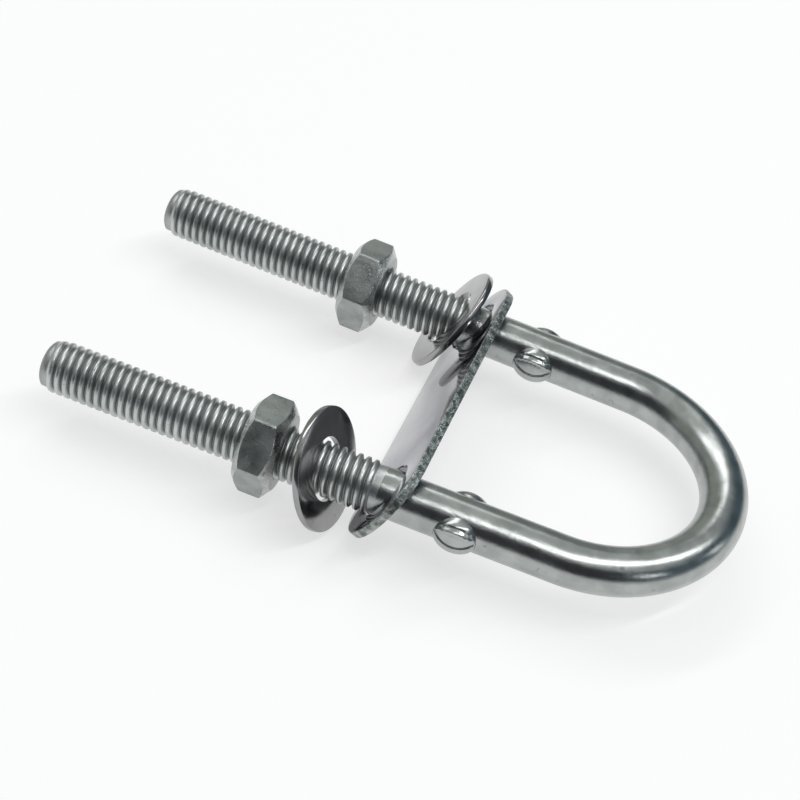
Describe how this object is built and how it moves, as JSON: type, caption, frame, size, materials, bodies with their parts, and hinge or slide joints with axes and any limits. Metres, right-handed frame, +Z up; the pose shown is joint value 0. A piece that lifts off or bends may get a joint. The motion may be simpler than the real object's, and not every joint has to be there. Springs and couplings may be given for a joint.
{
  "type": "pad eye",
  "caption": "U-bolt pad eye: a bent stainless bar with two threaded legs, an oblong plate that sits against pressed stop lugs, and a washer and nut on each leg.",
  "frame": {"origin": "on the surface it lies on, under the middle of its outer box", "axes": "+X along the legs from the threaded tips to the eye, +Z up from the surface and square to the plane of the U, +Y from the front leg to the rear leg"},
  "size_m": [0.1026, 0.0587, 0.0172],
  "materials": {
    "polished_bar": "polished along the bar, with fine drawing marks",
    "mirror_plate": "mirror polished faces, rough sheared edge",
    "polished_washer": "polished faces, rolled edge",
    "satin_nut": "satin, bright on the chamfers"
  },
  "bodies": {
    "u_bolt": {"u_bolt": "polished_bar"},
    "plate": {"plate": "mirror_plate"},
    "front_washer": {"front_washer": "polished_washer"},
    "rear_washer": {"rear_washer": "polished_washer"},
    "front_nut": {"front_nut": "satin_nut"},
    "rear_nut": {"rear_nut": "satin_nut"}
  },
  "joints": [
    {"name": "plate_slide", "type": "slide", "parent": "u_bolt", "child": "plate", "axis": [1, 0, 0], "range_m": [0, 0.0064]},
    {"name": "front_washer_slide", "type": "slide", "parent": "u_bolt", "child": "front_washer", "axis": [0.9999, 0.0161, 0], "range_m": [-0.03, 0.00125]},
    {"name": "rear_washer_slide", "type": "slide", "parent": "u_bolt", "child": "rear_washer", "axis": [0.9999, -0.0161, 0], "range_m": [-0.03, 0.00187]},
    {"name": "front_nut_turn", "type": "hinge", "parent": "front_washer", "child": "front_nut", "pos_m": [-0.01642, -0.02042, 0.00858], "axis": [0.9999, 0.0161, 0], "range_deg": [-8640, 360]},
    {"name": "rear_nut_turn", "type": "hinge", "parent": "rear_washer", "child": "rear_nut", "pos_m": [-0.01642, 0.02042, 0.00858], "axis": [0.9999, -0.0161, 0], "range_deg": [-8640, 540]}
  ],
  "couplings": [
    {"joint": "front_washer_slide", "follows": "front_nut_turn", "m_per_rad": 0.00019894},
    {"joint": "rear_washer_slide", "follows": "rear_nut_turn", "m_per_rad": 0.00019894}
  ]
}
